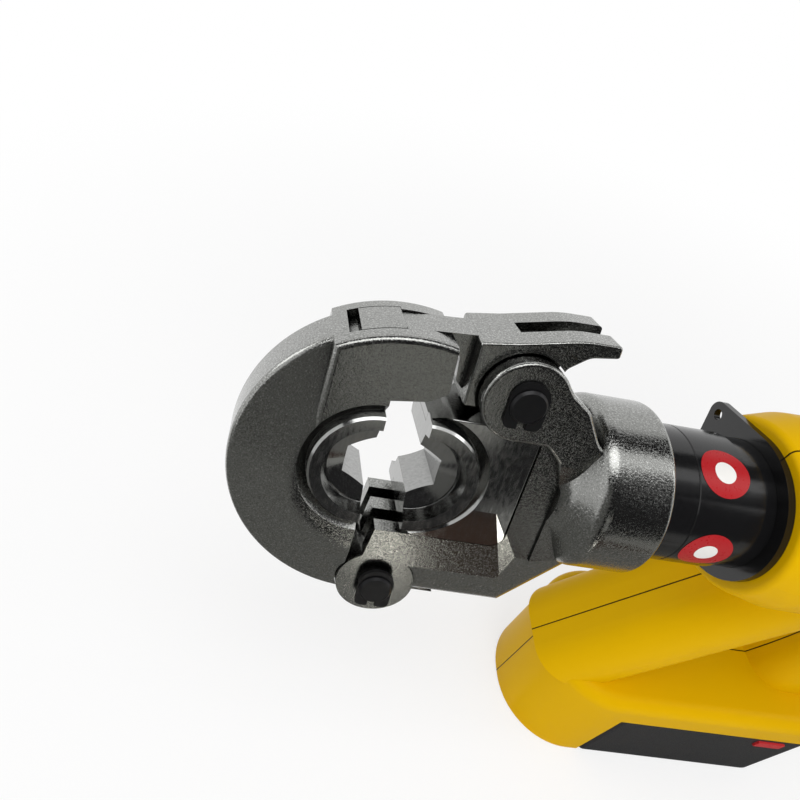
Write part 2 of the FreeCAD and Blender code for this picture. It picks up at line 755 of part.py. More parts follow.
def make_neck():
    """The ring on the yoke's end, the cylinder in it and the hanger plate behind."""
    tube = rod_x("ring_outer", "-sizes.seam_x + 0.2", "sizes.seam_x - sizes.yoke_end - 0.2", "sizes.sleeve_radius")
    hollow = rod_x("ring_inner", "-sizes.seam_x", "sizes.seam_x - sizes.yoke_end + 1",
                   "sizes.nose_radius + sizes.pin_play")
    finish(cut("swivel_ring", tube, [hollow]), "swivel_ring", "head")
    profile = [
        (-s.nose_start, s.bore_radius), (-s.nose_start, s.nose_radius - 0.8), (-s.nose_start - 0.8, s.nose_radius),
        (-s.seam_x, s.nose_radius), (-s.seam_x, s.sleeve_radius - 0.5), (-s.seam_x - 0.5, s.sleeve_radius),
        (-s.sleeve_step_x, s.sleeve_radius), (-s.sleeve_step_x - 0.6, s.sleeve_neck_radius),
        (-s.cylinder_end, s.sleeve_neck_radius), (-s.cylinder_end, 3.0), (-s.bore_end, 3.0),
        (-s.bore_end, s.bore_radius),
    ]
    finish(turned("cylinder", profile), "cylinder", "body")


def make_hanger():
    """A thin dished ring with a drilled lug, clamped between the cylinder and the housing."""
    angle = math.radians(180 - s.lug_angle)
    lug = (s.lug_reach * math.cos(angle), s.lug_reach * math.sin(angle))
    low = -s.hanger_x - s.hanger_thickness
    ring = bar(s.hanger_radius, low, -s.hanger_x)
    ear = bar(s.lug_radius, low, -s.hanger_x, *lug)
    spread = math.degrees(math.acos((s.hanger_radius - s.lug_radius) / s.lug_reach))
    sides = []
    for sign in (1, -1):
        tilt = angle + sign * math.radians(spread)
        sides.append((s.hanger_radius * math.cos(tilt), s.hanger_radius * math.sin(tilt)))
        sides.append((lug[0] + s.lug_radius * math.cos(tilt), lug[1] + s.lug_radius * math.sin(tilt)))
    web = cross_plate([sides[0], sides[1], sides[3], sides[2]], low, -s.hanger_x)
    hole = bar(s.sleeve_neck_radius + 0.1, low - 1, DEEP)
    eye = bar(s.lug_hole, low - 1, DEEP, *lug)
    solid = ring.fuse([ear, web]).removeSplitter().cut([hole, eye])
    piece("hanger_ring", solid, "body")


# The body

def spun_x(points):
    """A profile of (x, radius) turned about the tool axis."""
    return Part.Face(Part.Wire(corner_path(points))).revolve(Vector(), X, 360)


def housing_front():
    """The housing starts where the hanger ring ends."""
    return -s.hanger_x - s.hanger_thickness


def barrel_form(inset):
    """The round main body with its domed rear, drawn in by an inset."""
    front = housing_front() - 2 * inset
    radius = s.housing_radius - inset
    rear = -s.housing_rear + inset
    profile = [(front, 0), (front, radius - 5, 2.5), (housing_front() - 13, radius - 1.5, 12),
               (-s.housing_rear + 40, radius, 80), (-s.housing_rear + 13, radius - 1, 10),
               (rear, radius - 12, 7), (rear, 0)]
    return spun_x(profile)


def section_wire(z, x, half_x, half_y, corner):
    points = [(x - half_x, -half_y, corner), (x + half_x, -half_y, corner),
              (x + half_x, half_y, corner), (x - half_x, half_y, corner)]
    wire = Part.Wire(corner_path(points))
    wire.translate(Vector(0, 0, z))
    return wire


def lofted(sections, inset):
    wires = [section_wire(z, x, a - inset, b - inset, corner - inset) for z, x, a, b, corner in sections]
    return Part.makeLoft(wires, True, False)


def column_form(inset):
    """The front column, sloping forward from the barrel down to the base."""
    return lofted([
        (-20, -201, s.column_depth, s.column_half_width - 1.5, 17),
        (-s.base_top - 8, -s.base_front - 15, s.column_depth, s.column_half_width, 17),
    ], inset)


def grip_form(inset):
    """The handle, waisted for the hand."""
    return lofted([
        (-20, -s.grip_x, s.grip_depth + 3, s.grip_half_width + 2, 15),
        (-80, -s.grip_x, s.grip_depth, s.grip_half_width, 14),
        (-s.base_top - 8, -s.base_rear + s.grip_depth, s.grip_depth - 0.5, s.grip_half_width + 1.5, 14),
    ], inset)


def base_half():
    """Half the foot's width: the cells, the battery's walls and a little room."""
    return s.cell_length / 2 + s.battery_wall + s.cell_room


def base_outline(inset, front, rear, nose):
    half = base_half() - inset
    return [(front - inset, -half, nose), (front - inset, half, nose),
            (rear + inset, half, s.base_corner - inset), (rear + inset, -half, s.base_corner - inset)]


def foot():
    """The level that the tool stands on."""
    return -s.axis_height


def base_form():
    """The foot: a flat box with a round nose, full height in front of the battery."""
    outline = base_outline(0, -s.base_front, -s.base_rear, base_half() - 2)
    solid = plate(outline, foot(), -s.base_top)
    solid = rim_softened(solid, s.base_edge, (-s.base_top,))
    solid = rim_softened(solid, 1.5, (foot(),))
    bay = block((-DEEP * 2, -DEEP, foot() - 1), (-s.bay_front, DEEP, -s.bay_top))
    return solid.cut(bay)


def base_cavity():
    outline = base_outline(s.wall, -s.base_front, -s.base_rear, base_half() - 2 - s.wall)
    roof = -s.base_top - s.wall
    shallow = plate(outline, -s.bay_top + s.wall, roof)
    deep = plate(outline, foot() + s.wall, roof)
    deep = deep.common(block((-s.bay_front + s.wall, -DEEP, -DEEP), (0, DEEP, 0)))
    return [shallow, deep]


def rail_form(play):
    """The T-shaped rail under the base that the battery slides on."""
    flange = base_half() - s.rail_inset + play
    web = flange - s.rail_lip
    top = -s.bay_top
    outline = [(-web, top), (web, top), (web, top - s.rail_drop + play), (flange, top - s.rail_drop + play),
               (flange, top - s.rail_drop - s.rail_flange - play),
               (-flange, top - s.rail_drop - s.rail_flange - play), (-flange, top - s.rail_drop + play),
               (-web, top - s.rail_drop + play)]
    return cross_plate(outline, -s.bay_front - s.rail_length, -s.bay_front)


def screw_places():
    """Where the housing screws lie: x, z and how far from the middle each head is seated."""
    top = -s.housing_radius
    return [
        (-191, top, 12), (-151.5, -105, 12), (-s.grip_x + 5, -104, 10), (-s.grip_x - 6, top, 12),
        (-s.base_front - 16, -s.bay_top - 10, 24), (-s.base_front - 16, foot() + 11, 24),
        (-s.base_rear + 13, -s.base_top - 9, 24),
    ]


def trigger_window():
    return block((-s.grip_x + 4, -s.trigger_half - s.slide_play, -s.trigger_low - s.slide_play),
                 (-s.grip_x + 60, s.trigger_half + s.slide_play, -s.trigger_top + s.slide_play))


def pad_zone():
    return block((-DEEP * 2, -DEEP, -114), (-s.grip_x - 2, DEEP, -46))


def grip_skin(outer, inner):
    return grip_form(-outer).cut(grip_form(inner)).common(pad_zone())


def housing_shell():
    """The closed hollow moulding before it is split."""
    solid = barrel_form(0).fuse([column_form(0), grip_form(0), base_form()]).removeSplitter()
    hollow = barrel_form(s.wall).fuse([column_form(s.wall), grip_form(s.wall)] + base_cavity())
    return solid, hollow


def rib(x, radius):
    """A ring inside the barrel that holds a round inner piece."""
    return bar(s.housing_radius - 1, x - s.rib / 2, x + s.rib / 2).cut(
        bar(radius + s.pin_play, x - DEEP, x + DEEP))


def inner_supports():
    """Ribs round the pump, gearbox and motor, and pads beside the switch and the board."""
    parts = [rib(-s.pump_front - 4, s.pump_radius), rib(-s.gear_front - 8, s.gear_radius),
             rib(-s.motor_front - 12, s.motor_radius), rib(-s.motor_front - 40, s.motor_radius)]
    for side in (1, -1):
        near, far = sorted((side * s.switch_half, side * DEEP))
        parts.append(block((-s.switch_x - 9, near, -64), (-s.switch_x - 4, far, -56)))
        near, far = sorted((side * s.board_half, side * DEEP))
        parts.append(block((-s.board_x - 3, near, -165), (-s.board_x + 3, far, -150)))
    return parts


def make_housing():
    solid, hollow = housing_shell()
    bosses = inner_supports()
    drills = []
    for x, z, seat in screw_places():
        bosses.append(Part.makeCylinder(5.5, DEEP, Vector(x, -DEEP, z), Y))
        bosses.append(Part.makeCylinder(4.2, DEEP, Vector(x, 0, z), Y))
        drills.append(Part.makeCylinder(s.screw_radius + s.pin_play, seat + s.screw_length, Vector(x, -seat, z), Y))
        drills.append(Part.makeCylinder(s.screw_head_radius + 0.4, DEEP, Vector(x, -seat - DEEP, z), Y))
    button_x = -s.button_x
    openings = [
        bar(s.sleeve_neck_radius + 0.1, housing_front() - 3 * s.wall, 0), trigger_window(), grip_skin(1, 1.6),
        disc(button_x, 0, s.button_radius + s.slide_play, 20, DEEP),
        block((-s.bay_front - 1, -s.terminal_half - 0.1, -s.terminal_z - 5.1),
              (-s.bay_front + 5, s.terminal_half + 0.1, -s.terminal_z + 5.1)),
    ]
    shell = solid.cut(hollow)
    inside = solid.common(hollow)
    for side, label in ((1, "housing_left"), (-1, "housing_right")):
        low, high = sorted((0, side * DEEP))
        half_space = block((-DEEP * 2, low, -DEEP * 2), (DEEP, high, DEEP))
        walls = shell.common(half_space)
        stiff = Part.makeCompound(bosses).common(inside).common(half_space)
        rail = rail_form(0).common(half_space)
        half = walls.fuse(stiff.Solids + [rail]).cut(openings + drills).removeSplitter()
        piece(label, half, "body")


def make_grip_pads():
    for side, label in ((1, "grip_pad_left"), (-1, "grip_pad_right")):
        low, high = sorted((side * 1.0, side * DEEP))
        half_space = block((-DEEP * 2, low, -DEEP * 2), (DEEP, high, DEEP))
        piece(label, grip_skin(0.4, 1.6).common(half_space), "body")


def make_housing_screws():
    """Screws from the right, each with a sunk round head and a cross-shaped drive."""
    screws = []
    for x, z, seat in screw_places():
        shank = Part.makeCylinder(s.screw_radius, seat + s.screw_length - 1, Vector(x, -seat, z), Y)
        head = Part.makeCylinder(s.screw_head_radius, 2.4, Vector(x, -seat - 2.4, z), Y)
        arms = [block((x - 2, -seat - 3, z - 0.4), (x + 2, -seat - 1, z + 0.4)),
                block((x - 0.4, -seat - 3, z - 2), (x + 0.4, -seat - 1, z + 2))]
        screws.append(shank.fuse(head).cut(arms).removeSplitter())
    piece("housing_screws", Part.makeCompound(screws), "body")


def make_trigger():
    """The finger lever with a hollowed face and a flange that stops it inside the handle."""
    face = s.trigger_front
    low = -s.trigger_low
    top = -s.trigger_top
    middle = (low + top) / 2
    back = -s.grip_x + s.grip_depth - s.wall - 3.2
    outline = [(-face, top, 2.5), (-face - 5, middle, 26), (-face - 1, low, 2.5), (back, low), (back, top)]
    solid = side_plate(outline, -s.trigger_half, s.trigger_half)
    rims = [e for e in solid.Edges if e.BoundBox.YLength < 1e-4 and e.BoundBox.XMax > -face - 8]
    solid = solid.makeFillet(1.2, rims)
    flange = block((back - 4, -s.trigger_half - 1.6, low - 2), (back, s.trigger_half + 1.6, top + 2))
    piece("trigger", solid.fuse(flange).removeSplitter(), "body")
    start = -s.switch_x
    spring("trigger_spring", "body", (start, 0, middle), back - 4 - start, 4.0, 0.6, 4, (Y, 90))
    body = block((start - 14, -s.switch_half, middle - 10), (start, s.switch_half, middle + 10))
    piece("trigger_switch", body, "body")


def make_release():
    """The pressure release: a button through the roof, its spring and the plunger of the valve."""
    x = -s.button_x
    roof = s.housing_radius - s.wall
    flange_top = roof - 2.6
    profile = [(0, flange_top - 2), (s.button_radius + 1.8, flange_top - 2), (s.button_radius + 1.8, flange_top),
               (s.button_radius, flange_top), (s.button_radius, s.housing_radius + s.button_rise, 1.5),
               (0, s.housing_radius + s.button_rise)]
    piece("release_button", spun_z(profile, x, 0), "body")
    well = s.valve_depth
    plunger = disc(x, 0, 2.2, well + s.button_travel + 0.5, flange_top - 2)
    piece("release_plunger", plunger, "body")
    spring("release_spring", "body", (x, 0, well), flange_top - 2 - well, 3.4, 0.5, 5)


def make_power_unit():
    """Oil bladder, pump block, gearbox and motor, in line behind the cylinder."""
    outer = rod_x("bladder_outer", "-sizes.cylinder_end + 1", 17, "sizes.housing_radius - sizes.bladder_room")
    inner = rod_x("bladder_inner", "-sizes.cylinder_end", 20, "sizes.sleeve_neck_radius + 0.2")
    bladder_edge = doc.addObject("Part::Cut", "bladder")
    bladder_edge.Base = outer
    bladder_edge.Tool = inner
    finish(bladder_edge, "oil_bladder", "body")
    pump = spun_x([(-s.pump_front, 0), (-s.pump_front, s.pump_radius, 1.5), (-s.gear_front, s.pump_radius, 1.5),
                   (-s.gear_front, 0)])
    x = -s.button_x
    recess = disc(x, 0, s.button_radius + 2.4, s.pump_radius - 4.5, DEEP)
    well = disc(x, 0, 4.4, s.valve_depth, DEEP)
    piece("pump_block", pump.cut([recess, well]), "body")
    gear = spun_x([(-s.gear_front, 0), (-s.gear_front, s.gear_radius, 1), (-s.motor_front, s.gear_radius, 3),
                   (-s.motor_front, 0)])
    piece("gearbox", gear, "body")
    end = -s.motor_front - s.motor_length
    motor = spun_x([(-s.motor_front, 0), (-s.motor_front, s.motor_radius, 1), (end, s.motor_radius, 2),
                    (end, 8), (end - 3, 8), (end - 3, 0)])
    piece("motor", motor, "body")


def make_board():
    """The control board with its components, and the battery terminals behind it."""
    x = -s.board_x
    parts = [block((x - 0.8, -s.board_half, foot() + 6), (x + 0.8, s.board_half, -s.bay_top - 2))]
    for y in (-14, 0, 14):
        parts.append(bar(4.5, x + 0.8, x + 8, y, foot() + 18))
    parts.append(block((x + 0.8, -12, -158), (x + 4, 12, -148)))
    piece("control_board", parts[0].fuse(parts[1:]), "body")
    low = -s.terminal_z - 5
    high = -s.terminal_z + 5
    rear = -s.bay_front
    holder = block((rear, -s.terminal_half, low), (rear + 5, s.terminal_half, high))
    blades = [block((rear - 4.5, y - 0.4, low + 2), (rear + 6, y + 0.4, high - 2)) for y in s_blades()]
    piece("terminal_block", holder.cut(blades), "body")
    piece("terminal_blades", Part.makeCompound(blades), "body")


def s_blades():
    """The sideways places of the four terminal blades."""
    pitch = s.terminal_half / 2
    return [(i - 1.5) * pitch for i in range(4)]


def battery_front():
    return -s.bay_front - s.bay_gap


def battery_split():
    """The level where the battery's cover meets its tub."""
    return -s.bay_top - s.rail_drop - s.rail_flange - 2.6


def make_battery():
    split = battery_split()
    outline = base_outline(0, battery_front(), -s.base_rear, 3)
    inner = base_outline(s.battery_wall, battery_front(), -s.base_rear, 1)
    tub = rim_softened(plate(outline, foot(), split), 2.0, (foot(),))
    room = plate(inner, foot() + s.battery_wall, split)
    slots = [block((battery_front() - 4, y - 1, -s.terminal_z - 4), (battery_front() + 1, y + 1, -s.terminal_z + 4))
             for y in s_blades()]
    piece("battery_tub", tub.cut([room] + slots), "body")
    cover = plate(outline, split, -s.bay_top - 0.4)
    cover = cover.cut([rail_form(0.3)] + [pocket for side in (1, -1) for pocket in catch_form(side, 0.25)])
    piece("battery_cover", cover.removeSplitter(), "body")
    cells = []
    pitch = s.cell_diameter + 0.6
    middle = (battery_front() - s.base_rear) / 2 + 1
    for row in range(2):
        for column in range(5):
            x = middle + (column - 2) * pitch
            z = foot() + s.battery_wall + 0.1 + s.cell_diameter / 2 + row * (s.cell_diameter + 0.2)
            can = Part.makeCylinder(s.cell_diameter / 2, s.cell_length, Vector(x, -s.cell_length / 2, z), Y)
            cells.append(can)
    piece("battery_cells", Part.makeCompound(cells), "body")
    for side, label in ((1, "left"), (-1, "right")):
        cap, flange = catch_form(side, 0)
        button = cap.fuse(flange).removeSplitter()
        piece("battery_catch_" + label, button, "body")
        level = (-s.bay_top - 0.4 + split) / 2
        inner_face = base_half() - s.catch_depth
        well = inner_face - s.catch_travel - 3
        if side > 0:
            spring("catch_spring_left", "body", (-s.catch_x, well, level), inner_face - well, 1.9, 0.3, 3, (X, -90))
        else:
            spring("catch_spring_right", "body", (-s.catch_x, -well, level), inner_face - well, 1.9, 0.3, 3, (X, 90))


def catch_form(side, play):
    """A catch button in the battery's side: an outer cap and a wider flange behind it."""
    level = (-s.bay_top - 0.4 + battery_split()) / 2
    inner_face = base_half() - s.catch_depth
    deep = inner_face - (s.catch_travel + 3 if play else 0)
    out = base_half() + (5 if play else 1)
    half_x = s.catch_half + play
    half_z = 2.6 + play
    spans = ((inner_face, out, half_x, half_z), (deep, inner_face + 3 + play, half_x + 1.4, half_z + 0.6))
    forms = []
    for near, far, a, b in spans:
        low, high = sorted((side * near, side * far))
        forms.append(block((-s.catch_x - a, low, level - b), (-s.catch_x + a, high, level + b)))
    return forms


def check_and_write():
    doc.recompute()
    for item in doc.Objects:
        if "Invalid" in item.State or "Error" in item.State:
            raise RuntimeError("failed object: " + item.Name)
    for piece in pieces:
        if piece.Shape.isNull() or not piece.Shape.isValid():
            raise RuntimeError("bad shape: " + piece.Label)
    for piece in pieces:
        piece.Shape.exportStep("parts/%s.step" % piece.Label)


make_pins_and_clips()
make_dies()
make_jaw()
make_yoke()
make_latch()
make_ram()
make_piston()
make_head_springs()
make_neck()
make_hanger()
make_housing()
make_grip_pads()
make_housing_screws()
make_trigger()
make_release()
make_power_unit()
make_board()
make_battery()
check_and_write()
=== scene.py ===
import math

import bmesh
import bpy
from mathutils import Matrix, Vector


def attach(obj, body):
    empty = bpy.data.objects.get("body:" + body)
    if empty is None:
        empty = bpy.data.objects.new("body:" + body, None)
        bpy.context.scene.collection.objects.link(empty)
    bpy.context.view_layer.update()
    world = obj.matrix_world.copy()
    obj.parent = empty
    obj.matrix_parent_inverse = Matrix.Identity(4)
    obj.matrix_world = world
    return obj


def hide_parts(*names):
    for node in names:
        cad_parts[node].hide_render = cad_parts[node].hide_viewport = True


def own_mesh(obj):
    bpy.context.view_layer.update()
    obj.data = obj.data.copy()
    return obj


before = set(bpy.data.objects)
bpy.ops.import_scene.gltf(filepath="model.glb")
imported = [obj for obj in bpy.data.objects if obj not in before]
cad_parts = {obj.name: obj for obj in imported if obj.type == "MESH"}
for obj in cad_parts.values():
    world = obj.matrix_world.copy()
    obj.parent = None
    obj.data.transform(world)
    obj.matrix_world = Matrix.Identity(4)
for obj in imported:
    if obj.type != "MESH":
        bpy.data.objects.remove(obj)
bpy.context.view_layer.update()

MM = 0.001

# The barrel's axis above the floor, the head's middle ahead of the foot's, and the sleeve round the axis
AXIS_HEIGHT = 190 * MM
HEAD_FORWARD = 195 * MM
SLEEVE_RADIUS = 25 * MM

# The labels on the sleeve: their place behind the head's middle, sizes, and heights above the coat
LABEL_ALONG = -119.5 * MM
LABEL_RADIUS = 8.8 * MM
LABEL_LIFT = 0.12 * MM
DOT_RADIUS = 3.8 * MM
DOT_LIFT = 0.20 * MM
LABEL_TURNS = (("upper", 16), ("lower", 86))

# The photograph's camera, worked out from the round forms in it
IMAGE_SIZE = 800
FOCAL_PIXELS = 660.12
CENTRE_X = 315.24
CENTRE_Y = 355.77
SENSOR = 36.0
EYE = Vector((0.2396, 0.1445, 0.3752))
EYE_RIGHT = Vector((-0.982, -0.057, 0.180))
EYE_FORWARD = Vector((-0.089, -0.702, -0.7065))

# The studio
ROOM_GLOW = 0.35
FLOOR_SIDE = 8
SHADOW_REACH = (0.15, 0.75)
FLOOR_PALENESS = 0.70
LAMP_LEVEL = 1.19
FRAME_LEVEL = 1.2
WALL_LEAN = 75
LAMP_TARGET = (0.06, 0, 0.15)
WHITE = (1, 1, 1, 1)
BLACK_CARD = (0.02, 0.02, 0.021)
GREY_CARD = (0.20, 0.20, 0.19)
PALE_CARD = (0.40, 0.40, 0.38)
PALER_CARD = (0.55, 0.55, 0.52)
BROWN_CARD = (0.05, 0.026, 0.016)
CREAM_CARD = (0.98, 0.95, 0.86)


# Camera, light and floor

def add_camera():
    """The photograph's view: its place, its turn, and its frame's shift off the optical axis."""
    data = bpy.data.cameras.new("camera")
    camera = bpy.data.objects.new("camera", data)
    bpy.context.scene.collection.objects.link(camera)
    back = -EYE_FORWARD.normalized()
    right = (EYE_RIGHT - back * EYE_RIGHT.dot(back)).normalized()
    up = back.cross(right)
    turn = Matrix((right, up, back)).transposed().to_4x4()
    camera.matrix_world = Matrix.Translation(EYE) @ turn
    data.sensor_width = SENSOR
    data.lens = SENSOR * FOCAL_PIXELS / IMAGE_SIZE
    data.shift_x = (IMAGE_SIZE / 2 - CENTRE_X) / IMAGE_SIZE
    data.shift_y = (CENTRE_Y - IMAGE_SIZE / 2) / IMAGE_SIZE
    data.clip_start = 0.01
    data.clip_end = 50
    bpy.context.scene.camera = camera


def add_lamp(name, place, target, size, power):
    """A rectangular lamp that faces its target, with its power in watts."""
    data = bpy.data.lights.new(name, "AREA")
    data.shape = "RECTANGLE"
    data.size = size[0]
    data.size_y = size[1]
    data.energy = power
    lamp = bpy.data.objects.new(name, data)
    lamp.location = place
    lamp.rotation_euler = (Vector(target) - Vector(place)).to_track_quat("-Z", "Y").to_euler()
    bpy.context.scene.collection.objects.link(lamp)
    return lamp


def add_ceiling_lamp(name, left, right, near, far, glow):
    """A lamp under the ceiling that faces straight down, with its glow in watts per square metre."""
    centre = Vector(((left + right) / 2, (near + far) / 2, LAMP_LEVEL))
    size = (right - left, far - near)
    add_lamp(name, centre, centre - Vector((0, 0, 1)), size, glow * size[0] * size[1])


def add_lights():
    """Soft lamps overhead, dim in the middle, and weak ones from the front and from behind the viewer."""
    add_ceiling_lamp("lamp_dim", left=-0.95, right=-0.18, near=-0.06, far=0.40, glow=1.3)
    add_ceiling_lamp("lamp_dim_edge", left=-0.95, right=-0.18, near=0.40, far=0.72, glow=0.5)
    add_ceiling_lamp("lamp_ahead", left=-0.18, right=0.80, near=-0.08, far=0.46, glow=8.0)
    add_ceiling_lamp("lamp_behind", left=-1.80, right=-0.95, near=-0.08, far=0.46, glow=9.0)
    add_lamp("front_lamp", place=(1.5, -0.5, 0.8), target=LAMP_TARGET, size=(0.6, 0.6), power=3)
    unmirrored = (
        add_lamp("viewer_lamp", place=(0.2, 1.2, 0.9), target=LAMP_TARGET, size=(0.9, 0.9), power=8.5),
        add_lamp("fill_lamp", place=(-0.05, 0.0, 1.25), target=LAMP_TARGET, size=(1.2, 0.9), power=1.5),
    )
    for lamp in unmirrored:
        lamp.visible_glossy = False


def pale_view(nodes, links, lit, pale, share=None):
    """Mix towards a pale background where the camera looks straight at it or through metal or glass."""
    path = nodes.new("ShaderNodeLightPath")
    seen = path.outputs["Is Camera Ray"]
    for ray in ("Is Glossy Ray", "Is Transmission Ray"):
        either = nodes.new("ShaderNodeMath")
        either.operation = "MAXIMUM"
        links.new(seen, either.inputs[0])
        links.new(path.outputs[ray], either.inputs[1])
        seen = either.outputs[0]
    if share:
        amount = nodes.new("ShaderNodeMath")
        amount.operation = "MULTIPLY"
        links.new(seen, amount.inputs[0])
        links.new(share, amount.inputs[1])
        seen = amount.outputs[0]
    mix = nodes.new("ShaderNodeMixShader")
    links.new(seen, mix.inputs["Fac"])
    links.new(lit, mix.inputs[1])
    links.new(pale, mix.inputs[2])
    return mix.outputs[0]


def add_world():
    """A pale room: white wherever it is seen, and an even soft light."""
    world = bpy.data.worlds.new("studio")
    bpy.context.scene.world = world
    world.use_nodes = True
    nodes = world.node_tree.nodes
    links = world.node_tree.links
    nodes.clear()
    room = nodes.new("ShaderNodeBackground")
    room.inputs["Color"].default_value = WHITE
    room.inputs["Strength"].default_value = ROOM_GLOW
    pale = nodes.new("ShaderNodeBackground")
    pale.inputs["Color"].default_value = WHITE
    out = nodes.new("ShaderNodeOutputWorld")
    links.new(pale_view(nodes, links, room.outputs[0], pale.outputs[0]), out.inputs["Surface"])


def stage_sheet(name, width, length, centre, lean=0.0):
    """A flat rectangle of the studio, width along x, tipped up about x by lean degrees."""
    form = bmesh.new()
    bmesh.ops.create_grid(form, x_segments=1, y_segments=1, size=0.5)
    bmesh.ops.scale(form, vec=(width, length, 1), verts=form.verts)
    tip = Matrix.Rotation(math.radians(lean), 3, "X")
    bmesh.ops.rotate(form, cent=(0, 0, 0), matrix=tip, verts=form.verts)
    bmesh.ops.translate(form, vec=centre, verts=form.verts)
    mesh = bpy.data.meshes.new(name)
    form.to_mesh(mesh)
    form.free()
    sheet = bpy.data.objects.new(name, mesh)
    bpy.context.scene.collection.objects.link(sheet)
    return sheet


def add_floor():
    """A wide white floor that keeps the shadow near the tool and is plain white far from it."""
    floor = stage_sheet("floor", FLOOR_SIDE, FLOOR_SIDE, (0, 0, 0))
    material = bpy.data.materials.new("floor_white")
    material.use_nodes = True
    nodes = material.node_tree.nodes
    links = material.node_tree.links
    shader = nodes["Principled BSDF"]
    shader.inputs["Base Color"].default_value = (0.92, 0.92, 0.92, 1)
    shader.inputs["Roughness"].default_value = 0.7
    pale = nodes.new("ShaderNodeEmission")
    pale.inputs["Color"].default_value = WHITE
    place = nodes.new("ShaderNodeTexCoord")
    reach = nodes.new("ShaderNodeVectorMath")
    reach.operation = "LENGTH"
    links.new(place.outputs["Object"], reach.inputs[0])
    share = nodes.new("ShaderNodeMapRange")
    share.interpolation_type = "SMOOTHSTEP"
    share.inputs["From Min"].default_value = SHADOW_REACH[0]
    share.inputs["From Max"].default_value = SHADOW_REACH[1]
    share.inputs["To Min"].default_value = FLOOR_PALENESS
    links.new(reach.outputs["Value"], share.inputs["Value"])
    mixed = pale_view(nodes, links, shader.outputs[0], pale.outputs[0], share.outputs["Result"])
    links.new(mixed, nodes["Material Output"].inputs["Surface"])
    floor.data.materials.append(material)


def add_card(name, width, length, centre, lean, colour, glow=0.0):
    """A plain card of the studio, there only for polished metal to mirror."""
    card = stage_sheet(name, width, length, centre, lean)
    card.visible_camera = False
    card.visible_diffuse = False
    card.visible_shadow = False
    material = bpy.data.materials.new(name)
    material.use_nodes = True
    shader = material.node_tree.nodes["Principled BSDF"]
    shader.inputs["Base Color"].default_value = (*colour, 1)
    shader.inputs["Roughness"].default_value = 0.9
    shader.inputs["Emission Color"].default_value = (*colour, 1)
    shader.inputs["Emission Strength"].default_value = glow
    card.data.materials.append(material)


def floor_card(name, left, right, near, far, level, colour, glow=0.0):
    """A card that lies on the floor between two x and two y places."""
    centre = ((left + right) / 2, (near + far) / 2, level)
    add_card(name, right - left, far - near, centre, 0, colour, glow)


def add_cards():
    """The unlit room behind the viewer, the mats before the tool, and the frame round the lamps."""
    add_card("dark_wall", width=1.3, length=1.3, centre=(-0.30, 0.83, 0.62), lean=WALL_LEAN,
             colour=BLACK_CARD)
    add_card("grey_wall", width=0.8, length=1.3, centre=(0.75, 0.83, 0.62), lean=WALL_LEAN,
             colour=GREY_CARD)
    add_card("pale_card", width=0.22, length=0.22, centre=(0.04, 0.60, 0.215), lean=WALL_LEAN,
             colour=PALER_CARD)
    floor_card("grey_mat", left=-0.45, right=0.95, near=0.02, far=0.70, level=0.002, colour=GREY_CARD)
    floor_card("pale_mat", left=-0.80, right=-0.09, near=0.22, far=0.70, level=0.003, colour=PALE_CARD)
    floor_card("black_mat", left=-0.09, right=0.30, near=0.36, far=0.70, level=0.004, colour=BLACK_CARD)
    floor_card("brown_edge", left=-0.14, right=0.066, near=0.28, far=0.46, level=0.005, colour=BROWN_CARD)
    floor_card("white_slip", left=0.074, right=0.125, near=0.325, far=0.385, level=0.006,
               colour=CREAM_CARD, glow=5.0)
    add_card("front_frame", width=3.2, length=0.65, centre=(-0.4, 0.62, FRAME_LEVEL), lean=0,
             colour=BLACK_CARD)
    add_card("back_frame", width=3.2, length=0.56, centre=(-0.4, -0.35, FRAME_LEVEL), lean=0,
             colour=BLACK_CARD)


# Materials

def fill_ramp(ramp, stops):
    """Set a colour ramp's stops from (place, colour) pairs."""
    elements = ramp.color_ramp.elements
    while len(elements) > 1:
        elements.remove(elements[-1])
    elements[0].position = stops[0][0]
    elements[0].color = stops[0][1]
    for position, colour in stops[1:]:
        element = elements.new(position)
        element.color = colour


